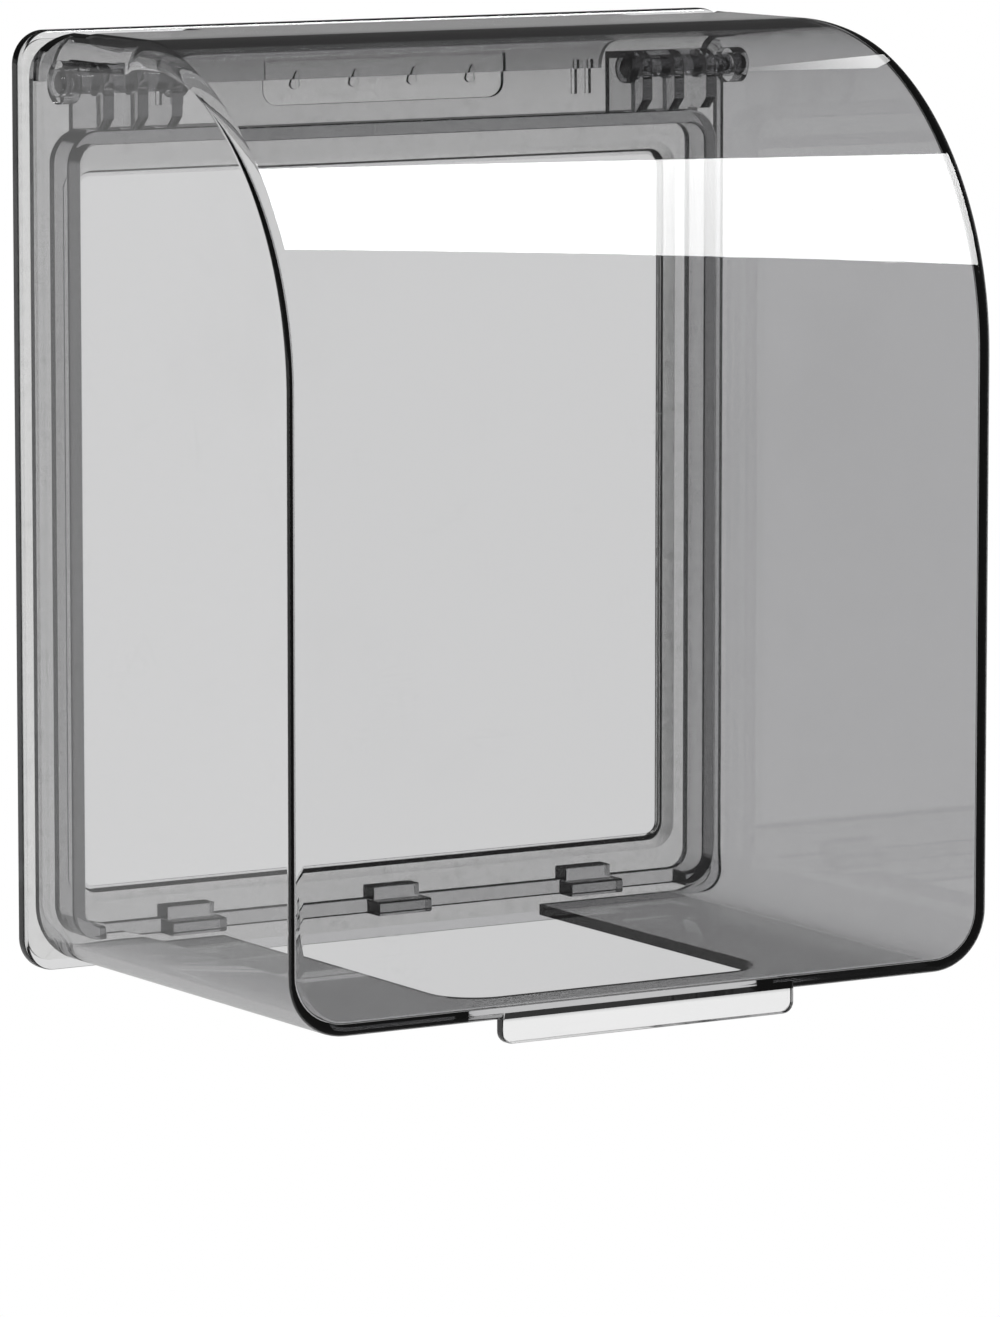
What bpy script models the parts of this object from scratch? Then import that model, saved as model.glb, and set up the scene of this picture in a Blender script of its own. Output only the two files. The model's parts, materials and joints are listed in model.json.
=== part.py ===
"""Hinged splash cover for a wall socket.

A clear back frame is stuck to the wall round a square socket faceplate. A deep
tinted lid hangs on two pins at the top of the frame, swings up to reach the
plug and has an open slot in its floor for the plug's lead.

Metres, +Z up. The origin is the centre of the frame's window on the wall, the
wall is the plane Y = 0 and the front of the cover faces -Y.
"""

from math import acos, cos, degrees, pi, radians, sin, sqrt

import bmesh
import bpy
from mathutils import Matrix, Vector

MM = 0.001

# Socket faceplate that the frame goes round
FACEPLATE = 86.0 * MM
WINDOW_SIDE_ROOM = 1.0 * MM
WINDOW_END_ROOM = 3.9 * MM
WINDOW_CORNER = 1.6 * MM
WINDOW_CHAMFER = 1.8 * MM

# Back frame
GASKET_THICK = 0.8 * MM
GASKET_INSET = 1.2 * MM
PLATE_THICK = 2.0 * MM
PLATE_SIDE_LIP = 1.5 * MM
PLATE_BOTTOM_LIP = 1.0 * MM
PLATE_EDGE_ROUND = 0.5 * MM
PLATE_CORNER_TIGHTER = 3.5 * MM
RIM_SIDE_LEDGE = 1.5 * MM
RIM_END_LEDGE = 2.8 * MM
RIM_WALL = 1.9 * MM
RIM_HEIGHT = 5.2 * MM
RIM_ROOT = 1.0 * MM
RIM_CORNER = 4.5 * MM
RIM_EDGE_ROUND = 0.4 * MM

# Drain notches in the lower rim
DRAIN_COUNT = 5
DRAIN_PITCH = 18.5 * MM
DRAIN_WIDTH = 10.0 * MM
DRAIN_DEPTH = 3.4 * MM
TOOTH_HEIGHT = 1.7 * MM
TOOTH_REACH = 2.4 * MM

# Sunk field and grooves between the hinges
BADGE_WIDTH = 37.0 * MM
BADGE_HEIGHT = 7.6 * MM
BADGE_DEPTH = 0.7 * MM
BADGE_CORNER = 2.2 * MM
BADGE_ABOVE_RIM = 2.6 * MM
DROP_COUNT = 4
DROP_PITCH = 9.0 * MM
DROP_LENGTH = 3.0 * MM
DROP_RADIUS = 0.75 * MM
DROP_RAISE = 0.5 * MM
GROOVE_COUNT = 2
GROOVE_PITCH = 2.2 * MM
GROOVE_WIDTH = 0.8 * MM
GROOVE_LENGTH = 5.5 * MM
GROOVE_DEPTH = 0.7 * MM
GROOVE_FROM_BRACKET = 2.3 * MM

# Lid shell
LID_WALL = 1.5 * MM
LID_SIDE_ROOM = 2.5 * MM
LID_FLOOR_ROOM = 1.4 * MM
HINGE_ZONE = 11.4 * MM
LID_DEPTH = 66.9 * MM
LID_DRAFT = 0.7 * MM
LID_BROW_RADIUS = 42.0 * MM
LID_FLOOR_CORNER = 8.0 * MM
LID_TOP_CORNER = 5.0 * MM
LID_FRONT_EDGE = 1.5 * MM
LID_INNER_EDGE = 0.5 * MM
CORNER_FADE_START = 14.0 * MM
CORNER_FADE_END = 42.0 * MM
LID_GAP = 0.3 * MM

# Lead slot in the lid's floor, and the lifting lip below its front
SLOT_WIDTH = 48.0 * MM
SLOT_FRONT_BAR = 9.0 * MM
SLOT_CORNER = 6.5 * MM
LIP_WIDTH = 44.0 * MM
LIP_DROP = 3.1 * MM
LIP_THICK = 1.7 * MM
LIP_CORNER = 1.6 * MM
LIP_ROOT = 1.2 * MM
LIP_SET_BACK = 0.05 * MM

# Hinge
BARREL_RADIUS = 6.5 * MM
PIN_RADIUS = 1.5 * MM
PIN_ROOM = 0.3 * MM
PIN_TIP_ROUND = 0.7 * MM
PIN_TIP_ROOM = 0.3 * MM
PIN_HEAD_RADIUS = 2.3 * MM
PIN_HEAD_THICK = 1.1 * MM
KNUCKLE_WALL = 0.9 * MM
BOSS_WALL = 0.9 * MM
BOSS_LENGTH = 2.3 * MM
BLIND_WALL = 0.9 * MM
BRACKET_TO_BOSS = 3.1 * MM
BRACKET_LENGTH = 11.7 * MM
BRACKET_RIBS = 3
BRACKET_RIB_THICK = 1.6 * MM
BRACKET_FOOT_CHAMFER = 1.5 * MM
BRACKET_FOOT_LIFT = 0.3 * MM
BRACKET_ROOF = 1.0 * MM
BRACKET_ROOF_DROP = 0.2 * MM
NOTCH_ROOM = 0.6 * MM

# Smoothness of curves, and how far a joined or cutting shape runs past its face
SINK = 0.4 * MM
OVERRUN = 2.0 * MM
BROW_STEPS = 18
BARREL_STEPS = 7
CORNER_STEPS = 7
SMALL_CORNER_STEPS = 5
TINY_CORNER_STEPS = 4
NOSE_STEPS = 12
DROP_STEPS = 8
ROUND_SIDES = 32
MERGE = 0.000002
QUARTER = 90

# Sizes that follow from the ones above
WINDOW_HALF_W = FACEPLATE / 2 + WINDOW_SIDE_ROOM
WINDOW_HALF_H = FACEPLATE / 2 + WINDOW_END_ROOM
RIM_IN_HALF_W = WINDOW_HALF_W + WINDOW_CHAMFER + RIM_SIDE_LEDGE
RIM_IN_HALF_H = WINDOW_HALF_H + WINDOW_CHAMFER + RIM_END_LEDGE
RIM_HALF_W = RIM_IN_HALF_W + RIM_WALL
RIM_HALF_H = RIM_IN_HALF_H + RIM_WALL
LID_HALF_W = RIM_HALF_W + LID_SIDE_ROOM + LID_WALL
LID_BOTTOM = -(RIM_HALF_H + LID_FLOOR_ROOM + LID_WALL)
LID_TOP = RIM_HALF_H + HINGE_ZONE + LID_WALL
PLATE_CORNER = LID_FLOOR_CORNER - PLATE_CORNER_TIGHTER
PLATE_BACK_Y = -GASKET_THICK
PLATE_FRONT_Y = PLATE_BACK_Y - PLATE_THICK
RIM_FRONT_Y = PLATE_FRONT_Y - RIM_HEIGHT
LID_BACK_Y = PLATE_FRONT_Y - LID_GAP
LID_FRONT_Y = LID_BACK_Y - LID_DEPTH
AXIS_Y = LID_BACK_Y - BARREL_RADIUS
AXIS_Z = LID_TOP - BARREL_RADIUS
KNUCKLE_RADIUS = PIN_RADIUS + PIN_ROOM + KNUCKLE_WALL
BOSS_FACE_X = LID_HALF_W - LID_WALL - BOSS_LENGTH
BRACKET_OUT_X = BOSS_FACE_X - BRACKET_TO_BOSS
BRACKET_IN_X = BRACKET_OUT_X - BRACKET_LENGTH


def clear_scene():
    for obj in list(bpy.data.objects):
        bpy.data.objects.remove(obj, do_unlink=True)


def make_collection(name):
    collection = bpy.data.collections.new(name)
    bpy.context.scene.collection.children.link(collection)
    return collection


clear_scene()
COVER = make_collection("socket_cover")
TOOLS = make_collection("cutters")


def make_material(name, color, roughness, transmission=0.0, alpha=1.0, metallic=0.0):
    material = bpy.data.materials.new(name)
    material.use_nodes = True
    shader = material.node_tree.nodes["Principled BSDF"]
    shader.inputs["Base Color"].default_value = (*color, 1.0)
    shader.inputs["Roughness"].default_value = roughness
    shader.inputs["Metallic"].default_value = metallic
    shader.inputs["Transmission Weight"].default_value = transmission
    shader.inputs["Alpha"].default_value = alpha
    shader.inputs["IOR"].default_value = 1.58
    material.diffuse_color = (*color, alpha)
    return material


def add_object(name, mesh, material=None, collection=COVER):
    obj = bpy.data.objects.new(name, mesh)
    collection.objects.link(obj)
    if material:
        obj.data.materials.append(material)
    return obj


def add_tool(name, mesh):
    tool = add_object(name, mesh, collection=TOOLS)
    tool.display_type = "WIRE"
    tool.hide_render = True
    return tool


def boolean(target, tool, operation):
    step = target.modifiers.new(f"{operation.lower()} {tool.name}", "BOOLEAN")
    step.object = tool
    step.operation = operation
    step.solver = "EXACT"


def finish_rounds(obj, angle=32):
    """Shade the curved faces smooth and keep the real edges sharp."""
    obj.data.shade_smooth()
    obj.data.set_sharp_from_angle(angle=radians(angle))


def set_origin(obj, point):
    """Move an object's origin without moving its shape."""
    obj.data.transform(Matrix.Translation(-Vector(point)))
    obj.location = point


# Outlines and simple solids

def arc(center, radius, start, end, steps):
    """Points on a circle from one angle to another, in degrees."""
    turns = [radians(start + (end - start) * i / steps) for i in range(steps + 1)]
    return [(center[0] + radius * cos(a), center[1] + radius * sin(a)) for a in turns]


def rounded_rectangle(half_w, low, high, radius, steps=CORNER_STEPS):
    """Outline of a rounded rectangle in X and Z, anticlockwise seen from the front."""
    right, left = half_w - radius, radius - half_w
    bottom, top = low + radius, high - radius
    centers = ((right, bottom), (right, top), (left, top), (left, bottom))
    points = []
    for i, center in enumerate(centers):
        start = (i - 1) * QUARTER
        points += arc(center, radius, start, start + QUARTER, steps)
    return points


def open_top_outline(half_w, low, high, radius, steps):
    """Outline of a rectangle that is rounded at its two lower corners only."""
    outline = [(half_w, high), (-half_w, high)]
    outline += arc((radius - half_w, low + radius), radius, 2 * QUARTER, 3 * QUARTER, steps)
    outline += arc((half_w - radius, low + radius), radius, 3 * QUARTER, 4 * QUARTER, steps)
    return outline


def flat_curve(name, outlines, thickness, bevel=0.0):
    """A flat 2D curve of one or more outlines, thickened about its own plane, as a mesh."""
    curve = bpy.data.curves.new(name, "CURVE")
    curve.dimensions = "2D"
    curve.fill_mode = "BOTH"
    curve.extrude = thickness / 2 - bevel
    curve.bevel_depth = bevel
    curve.bevel_resolution = 1
    curve.offset = -bevel
    for outline in outlines:
        spline = curve.splines.new("POLY")
        spline.points.add(len(outline) - 1)
        for point, (u, v) in zip(spline.points, outline):
            point.co = (u, v, 0.0, 1.0)
        spline.use_cyclic_u = True
    holder = bpy.data.objects.new(name, curve)
    TOOLS.objects.link(holder)
    graph = bpy.context.evaluated_depsgraph_get()
    mesh = bpy.data.meshes.new_from_object(holder.evaluated_get(graph))
    bpy.data.objects.remove(holder, do_unlink=True)
    weld(mesh)
    return mesh


def weld(mesh):
    shape = bmesh.new()
    shape.from_mesh(mesh)
    bmesh.ops.remove_doubles(shape, verts=shape.verts, dist=MERGE)
    bmesh.ops.dissolve_degenerate(shape, dist=MERGE, edges=shape.edges)
    bmesh.ops.recalc_face_normals(shape, faces=shape.faces)
    shape.to_mesh(mesh)
    shape.free()


def loft(name, rings):
    """A skin over closed outlines of equal length, one after the other, closed at both ends."""
    shape = bmesh.new()
    loops = [[shape.verts.new(point) for point in ring] for ring in rings]
    for near, far in zip(loops, loops[1:]):
        for i in range(len(near)):
            j = (i + 1) % len(near)
            shape.faces.new((near[i], near[j], far[j], far[i]))
    shape.faces.new(loops[0])
    shape.faces.new(loops[-1])
    mesh = bpy.data.meshes.new(name)
    shape.to_mesh(mesh)
    shape.free()
    weld(mesh)
    return mesh


def slab_xz(name, outlines, back_y, front_y, bevel=0.0):
    """Outlines drawn in X and Z, thickened in Y from back_y to front_y."""
    mesh = flat_curve(name, outlines, back_y - front_y, bevel)
    stand = Matrix.Rotation(pi / 2, 4, "X")
    mesh.transform(Matrix.Translation((0, (back_y + front_y) / 2, 0)) @ stand)
    return mesh


def slab_yz(name, outline, low_x, high_x):
    """An outline drawn in Y and Z, thickened in X from low_x to high_x."""
    mesh = flat_curve(name, [outline], high_x - low_x)
    turn = Matrix(((0, 0, 1, 0), (1, 0, 0, 0), (0, 1, 0, 0), (0, 0, 0, 1)))
    mesh.transform(Matrix.Translation(((low_x + high_x) / 2, 0, 0)) @ turn)
    return mesh


def slab_xy(name, outline, low_z, high_z):
    """An outline drawn in X and Y, thickened in Z from low_z to high_z."""
    mesh = flat_curve(name, [outline], high_z - low_z)
    mesh.transform(Matrix.Translation((0, 0, (low_z + high_z) / 2)))
    return mesh


def block(name, low, high):
    """A box between two corners."""
    shape = bmesh.new()
    bmesh.ops.create_cube(shape, size=1.0)
    low, high = Vector(low), Vector(high)
    size = high - low
    bmesh.ops.scale(shape, vec=size, verts=shape.verts)
    bmesh.ops.translate(shape, vec=(low + high) / 2, verts=shape.verts)
    mesh = bpy.data.meshes.new(name)
    shape.to_mesh(mesh)
    shape.free()
    return mesh


def rod_x(name, radius, low_x, high_x, center=(AXIS_Y, AXIS_Z)):
    """A cylinder along X."""
    shape = bmesh.new()
    bmesh.ops.create_cone(
        shape, cap_ends=True, segments=ROUND_SIDES,
        radius1=radius, radius2=radius, depth=high_x - low_x,
    )
    mesh = bpy.data.meshes.new(name)
    shape.to_mesh(mesh)
    shape.free()
    lay = Matrix.Rotation(pi / 2, 4, "Y")
    place = Matrix.Translation(((low_x + high_x) / 2, *center))
    mesh.transform(place @ lay)
    return mesh


def mirrored(mesh):
    """A copy of a mesh on the other side of the plane X = 0."""
    copy = mesh.copy()
    copy.transform(Matrix.Scale(-1, 4, (1, 0, 0)))
    copy.flip_normals()
    return copy


def on_both_sides(name, mesh):
    return [(f"{name}_right", mesh), (f"{name}_left", mirrored(mesh))]


# Lid

def lid_half_width(y):
    """Outer half width: the walls lean in a little towards the front."""
    return LID_HALF_W - LID_DRAFT * (LID_BACK_Y - y) / LID_DEPTH


def top_corner_radius(y):
    """Large at the back, fading to the small front edge radius on the brow."""
    share = (LID_BACK_Y - y - CORNER_FADE_START) / (CORNER_FADE_END - CORNER_FADE_START)
    share = min(max(share, 0.0), 1.0)
    ease = share * share * (3 - 2 * share)
    return LID_TOP_CORNER + (LID_FRONT_EDGE - LID_TOP_CORNER) * ease


def lid_section(y, wall):
    """Half outline of the lid at depth y, moved inwards by wall, from the floor up to the top."""
    edge = max(top_corner_radius(y) - wall, LID_INNER_EDGE)
    brow = LID_BROW_RADIUS - wall
    brow_center_y = LID_FRONT_Y + LID_BROW_RADIUS
    brow_center_z = LID_TOP - LID_BROW_RADIUS
    reach = max(brow_center_y - y, 0.0)
    sweep = pi / 2
    if reach > brow - edge:
        sweep = acos(min((reach - brow + edge) / edge, 1.0))
    inset = edge * (1 - sin(sweep))
    half_w = lid_half_width(y) - wall
    low = LID_BOTTOM + wall
    floor = max(LID_FLOOR_CORNER - wall - inset, LID_INNER_EDGE)
    center = (half_w - inset - floor, low + inset + floor)
    points = arc(center, floor, -QUARTER, 0, CORNER_STEPS)
    barrel = BARREL_RADIUS - wall
    back = max(y - AXIS_Y, 0.0)
    sag = barrel - sqrt(max(barrel ** 2 - back ** 2, 0.0))
    for i in range(CORNER_STEPS + 1):
        turn = sweep * (1 - i / CORNER_STEPS)
        ring = brow - edge + edge * cos(turn)
        height = sqrt(max(ring ** 2 - reach ** 2, 0.0))
        points.append((half_w - edge + edge * sin(turn), brow_center_z + height - sag))
    return points


def lid_depths(wall, back_y):
    """Depths of the sections: close together on the barrel, the brow and the front edge."""
    barrel = BARREL_RADIUS - wall
    brow = LID_BROW_RADIUS - wall
    brow_center_y = LID_FRONT_Y + LID_BROW_RADIUS
    depths = [back_y]
    depths += [AXIS_Y + barrel * cos(pi / 2 * i / BARREL_STEPS) for i in range(BARREL_STEPS + 1)]
    fade = (LID_BACK_Y - CORNER_FADE_START - brow_center_y) / 2
    depths += [brow_center_y + fade]
    depths += [brow_center_y - brow * sin(pi / 2 * i / BROW_STEPS) for i in range(BROW_STEPS + 1)]
    edge_start = brow_center_y - (brow - LID_FRONT_EDGE)
    depths += [edge_start]
    return sorted(set(round(d, 7) for d in depths), reverse=True)


def lid_solid(name, wall, back_y):
    """Loft of the lid's sections."""
    rings = []
    for y in lid_depths(wall, back_y):
        right = lid_section(y, wall)
        outline = right + [(-x, z) for x, z in reversed(right)]
        rings.append([(x, y, z) for x, z in outline])
    return loft(name, rings)


def lid_bosses():
    """Round bosses inside the side walls, which take the ends of the pins."""
    radius = PIN_RADIUS + PIN_ROOM + BOSS_WALL
    return on_both_sides("boss", rod_x("boss", radius, BOSS_FACE_X, LID_HALF_W - LID_WALL + SINK))


def lid_pin_holes():
    """Blind holes in the bosses."""
    return on_both_sides(
        "pin_hole",
        rod_x("pin_hole", PIN_RADIUS + PIN_ROOM, BOSS_FACE_X - OVERRUN, LID_HALF_W - BLIND_WALL),
    )


def lid_hinge_notches():
    """Openings in the back of the roof, which the hinge brackets pass through as the lid swings."""
    front = AXIS_Y - KNUCKLE_RADIUS - NOTCH_ROOM
    low = (BRACKET_IN_X - PIN_HEAD_THICK - NOTCH_ROOM, front, AXIS_Z - OVERRUN)
    high = (BOSS_FACE_X, LID_BACK_Y + OVERRUN, LID_TOP + OVERRUN)
    return on_both_sides("notch", block("notch", low, high))


def lid_slot():
    """Slot for the plug's lead, open at the back and rounded at the front."""
    half = SLOT_WIDTH / 2
    front = LID_FRONT_Y + SLOT_FRONT_BAR
    back = LID_BACK_Y + OVERRUN
    outline = open_top_outline(half, front, back, SLOT_CORNER, CORNER_STEPS)
    return slab_xy("lead_slot", outline, LID_BOTTOM - OVERRUN, LID_BOTTOM + LID_WALL + OVERRUN)


def lid_lip():
    """Lifting lip that hangs below the front panel."""
    front = LID_FRONT_Y + LIP_SET_BACK
    low = LID_BOTTOM - LIP_DROP
    outline = rounded_rectangle(LIP_WIDTH / 2, low, LID_BOTTOM + LIP_ROOT, LIP_CORNER, TINY_CORNER_STEPS)
    return slab_xz("lip", [outline], front + LIP_THICK, front)


def build_lid(material):
    lid = add_object("lid", lid_solid("lid", 0.0, LID_BACK_Y), material)
    boolean(lid, add_tool("lip", lid_lip()), "UNION")
    cavity = lid_solid("lid_cavity", LID_WALL, LID_BACK_Y + OVERRUN)
    boolean(lid, add_tool("lid_cavity", cavity), "DIFFERENCE")
    for name, mesh in lid_bosses():
        boolean(lid, add_tool(name, mesh), "UNION")
    for name, mesh in lid_pin_holes() + lid_hinge_notches():
        boolean(lid, add_tool(name, mesh), "DIFFERENCE")
    boolean(lid, add_tool("lead_slot", lid_slot()), "DIFFERENCE")
    finish_rounds(lid)
    set_origin(lid, (0, AXIS_Y, AXIS_Z))
    return lid


# Back frame

def frame_plate():
    """Flat plate behind the lid, with rounded corners that follow the lid's."""
    half_w = LID_HALF_W + PLATE_SIDE_LIP
    low = LID_BOTTOM - PLATE_BOTTOM_LIP
    outline = rounded_rectangle(half_w, low, LID_TOP, PLATE_CORNER)
    return slab_xz("back_frame", [outline], PLATE_BACK_Y, PLATE_FRONT_Y, PLATE_EDGE_ROUND)


def window_outline(grow):
    """Outline of the window, moved outwards by grow."""
    half_h = WINDOW_HALF_H + grow
    return rounded_rectangle(
        WINDOW_HALF_W + grow, -half_h, half_h, WINDOW_CORNER + grow, SMALL_CORNER_STEPS,
    )


def window_cutter():
    """Window whose front edge is chamfered all round."""
    depths = (
        (PLATE_BACK_Y + OVERRUN, 0.0),
        (PLATE_BACK_Y, 0.0),
        (PLATE_FRONT_Y, WINDOW_CHAMFER),
        (PLATE_FRONT_Y - OVERRUN, WINDOW_CHAMFER),
    )
    rings = []
    for y, grow in depths:
        outline = window_outline(grow)
        rings.append([(x, y, z) for x, z in outline])
    return loft("window", rings)


def frame_rim():
    """Raised wall round the window, which stands inside the closed lid."""
    outer = rounded_rectangle(RIM_HALF_W, -RIM_HALF_H, RIM_HALF_H, RIM_CORNER)
    inner = rounded_rectangle(
        RIM_IN_HALF_W, -RIM_IN_HALF_H, RIM_IN_HALF_H, RIM_CORNER - RIM_WALL,
    )
    return slab_xz("rim", [outer, inner], PLATE_FRONT_Y + RIM_ROOT, RIM_FRONT_Y, RIM_EDGE_ROUND)


def drain_places():
    first = -(DRAIN_COUNT - 1) / 2
    return [(first + i) * DRAIN_PITCH for i in range(DRAIN_COUNT)]


def drain_notches():
    """Notches in the lower rim that let water out."""
    cutters = []
    for i, x in enumerate(drain_places()):
        low = (x - DRAIN_WIDTH / 2, RIM_FRONT_Y - OVERRUN, -RIM_HALF_H - OVERRUN)
        high = (x + DRAIN_WIDTH / 2, RIM_FRONT_Y + DRAIN_DEPTH, -RIM_IN_HALF_H + SINK)
        cutters.append((f"drain_{i + 1}", block("drain", low, high)))
    return cutters


def drain_teeth():
    """Low steps on the inside of the lower rim, one between each pair of notches."""
    places = drain_places()
    teeth = []
    half = (DRAIN_PITCH - DRAIN_WIDTH) / 2 - SINK
    for i, (left, right) in enumerate(zip(places, places[1:])):
        middle = (left + right) / 2
        low = (middle - half, RIM_FRONT_Y + TOOTH_REACH, -RIM_IN_HALF_H - SINK)
        high = (middle + half, PLATE_FRONT_Y + SINK, -RIM_IN_HALF_H + TOOTH_HEIGHT)
        teeth.append((f"tooth_{i + 1}", block("tooth", low, high)))
    return teeth


def hinge_rib_outline():
    """Side view of a bracket rib: a foot on the rim, an upright front, a round nose and a flat roof."""
    foot_z = RIM_HALF_H - SINK
    foot_front = RIM_FRONT_Y + RIM_EDGE_ROUND
    toe_z = RIM_HALF_H + BRACKET_FOOT_LIFT
    roof_z = AXIS_Z + KNUCKLE_RADIUS
    front_y = AXIS_Y - KNUCKLE_RADIUS
    outline = [(PLATE_FRONT_Y + SINK, foot_z), (PLATE_FRONT_Y + SINK, roof_z)]
    outline += arc((AXIS_Y, AXIS_Z), KNUCKLE_RADIUS, QUARTER, 2 * QUARTER, NOSE_STEPS)
    outline.append((front_y, toe_z + BRACKET_FOOT_CHAMFER))
    outline.append((front_y + BRACKET_FOOT_CHAMFER, toe_z))
    outline += [(foot_front, toe_z), (foot_front, foot_z)]
    return outline


def hinge_brackets():
    """Three ribs and a roof on each side, drilled for the pin."""
    parts = []
    outline = hinge_rib_outline()
    stride = (BRACKET_LENGTH - BRACKET_RIB_THICK) / (BRACKET_RIBS - 1)
    for i in range(BRACKET_RIBS):
        low = BRACKET_IN_X + i * stride
        parts += on_both_sides(f"rib_{i + 1}", slab_yz("rib", outline, low, low + BRACKET_RIB_THICK))
    roof_z = AXIS_Z + KNUCKLE_RADIUS - BRACKET_ROOF_DROP
    inset = BRACKET_RIB_THICK / 2
    low = (BRACKET_IN_X + inset, AXIS_Y, roof_z - BRACKET_ROOF)
    high = (BRACKET_OUT_X - inset, PLATE_FRONT_Y + SINK, roof_z)
    parts += on_both_sides("roof", block("roof", low, high))
    return parts


def bracket_bores():
    low = BRACKET_IN_X - OVERRUN
    high = BRACKET_OUT_X + OVERRUN
    return on_both_sides("bore", rod_x("bore", PIN_RADIUS + PIN_ROOM, low, high))


def badge_outline():
    """Bare field between the hinges, rounded at its lower corners."""
    low = RIM_HALF_H + BADGE_ABOVE_RIM
    return open_top_outline(BADGE_WIDTH / 2, low, low + BADGE_HEIGHT, BADGE_CORNER, TINY_CORNER_STEPS)


def drop_outline(x, z):
    """Teardrop with its point up."""
    away = DROP_LENGTH - DROP_RADIUS
    side = degrees(acos(DROP_RADIUS / away))
    start, end = QUARTER + side, 5 * QUARTER - side
    return [(x, z + away)] + arc((x, z), DROP_RADIUS, start, end, DROP_STEPS)


def frame_recesses():
    """The sunk field and the short grooves beside it, which the lid's barrel passes over."""
    above = PLATE_FRONT_Y - OVERRUN
    field = slab_xz("badge", [badge_outline()], PLATE_FRONT_Y + BADGE_DEPTH, above)
    cutters = [("badge", field)]
    low_z = RIM_HALF_H + BADGE_ABOVE_RIM
    for i in range(GROOVE_COUNT):
        x = BRACKET_IN_X - GROOVE_FROM_BRACKET - i * GROOVE_PITCH
        low = (x - GROOVE_WIDTH, above, low_z)
        high = (x, PLATE_FRONT_Y + GROOVE_DEPTH, low_z + GROOVE_LENGTH)
        cutters += on_both_sides(f"groove_{i + 1}", block("groove", low, high))
    return cutters


def frame_drops():
    """Raised drops in the sunk field."""
    drops = []
    floor = PLATE_FRONT_Y + BADGE_DEPTH
    middle = RIM_HALF_H + BADGE_ABOVE_RIM + (BADGE_HEIGHT - DROP_LENGTH) / 2 + DROP_RADIUS
    for i in range(DROP_COUNT):
        x = (i - (DROP_COUNT - 1) / 2) * DROP_PITCH
        drop = slab_xz("drop", [drop_outline(x, middle)], floor + SINK, floor - DROP_RAISE)
        drops.append((f"drop_{i + 1}", drop))
    return drops


def build_back_frame(material):
    frame = add_object("back_frame", frame_plate(), material)
    rim = add_tool("rim", frame_rim())
    for name, mesh in drain_notches():
        boolean(rim, add_tool(name, mesh), "DIFFERENCE")
    boolean(frame, add_tool("window", window_cutter()), "DIFFERENCE")
    boolean(frame, rim, "UNION")
    for name, mesh in frame_recesses():
        boolean(frame, add_tool(name, mesh), "DIFFERENCE")
    for name, mesh in frame_drops() + drain_teeth() + hinge_brackets():
        boolean(frame, add_tool(name, mesh), "UNION")
    for name, mesh in bracket_bores():
        boolean(frame, add_tool(name, mesh), "DIFFERENCE")
    finish_rounds(frame)
    return frame


def build_wall_gasket(material):
    """Soft adhesive ring between the plate and the wall."""
    half_w = LID_HALF_W + PLATE_SIDE_LIP - GASKET_INSET
    low = LID_BOTTOM - PLATE_BOTTOM_LIP + GASKET_INSET
    outer = rounded_rectangle(half_w, low, LID_TOP - GASKET_INSET, PLATE_CORNER - GASKET_INSET)
    ring = slab_xz("wall_gasket", [outer, window_outline(GASKET_INSET)], 0.0, PLATE_BACK_Y)
    return add_object("wall_gasket", ring, material)


# Hinge pins

def build_hinge_pin(name, side, material):
    """Headed pin: the head inside the bracket, the round tip in the lid's boss."""
    head_face = BRACKET_IN_X - PIN_ROOM
    tip = LID_HALF_W - BLIND_WALL - PIN_TIP_ROOM
    profile = [(head_face - PIN_HEAD_THICK, 0.0), (head_face - PIN_HEAD_THICK, PIN_HEAD_RADIUS)]
    profile += [(head_face, PIN_HEAD_RADIUS), (head_face, PIN_RADIUS)]
    nose = (tip - PIN_TIP_ROUND, PIN_RADIUS - PIN_TIP_ROUND)
    profile += reversed(arc(nose, PIN_TIP_ROUND, 0, QUARTER, TINY_CORNER_STEPS))
    profile += [(tip, 0.0)]
    shape = bmesh.new()
    spine = [shape.verts.new((x, 0.0, r)) for x, r in profile]
    edges = [shape.edges.new(pair) for pair in zip(spine, spine[1:])]
    bmesh.ops.spin(
        shape, geom=spine + edges, cent=(0, 0, 0), axis=(1, 0, 0),
        angle=2 * pi, steps=ROUND_SIDES, use_merge=True,
    )
    mesh = bpy.data.meshes.new(name)
    shape.to_mesh(mesh)
    shape.free()
    weld(mesh)
    if side < 0:
        mesh = mirrored(mesh)
        mesh.name = name
    pin = add_object(name, mesh, material)
    pin.location = (0, AXIS_Y, AXIS_Z)
    finish_rounds(pin)
    return pin


def build():
    smoked = make_material("smoked clear plastic", (0.30, 0.30, 0.31), 0.04, 0.9, 0.5)
    clear = make_material("clear plastic", (0.62, 0.62, 0.63), 0.05, 0.9, 0.5)
    gel = make_material("white gel", (0.80, 0.80, 0.79), 0.45)
    build_back_frame(clear)
    build_wall_gasket(gel)
    build_hinge_pin("hinge_pin_right", 1, clear)
    build_hinge_pin("hinge_pin_left", -1, clear)
    build_lid(smoked)


build()
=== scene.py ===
import json
from math import cos, radians, sin

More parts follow.
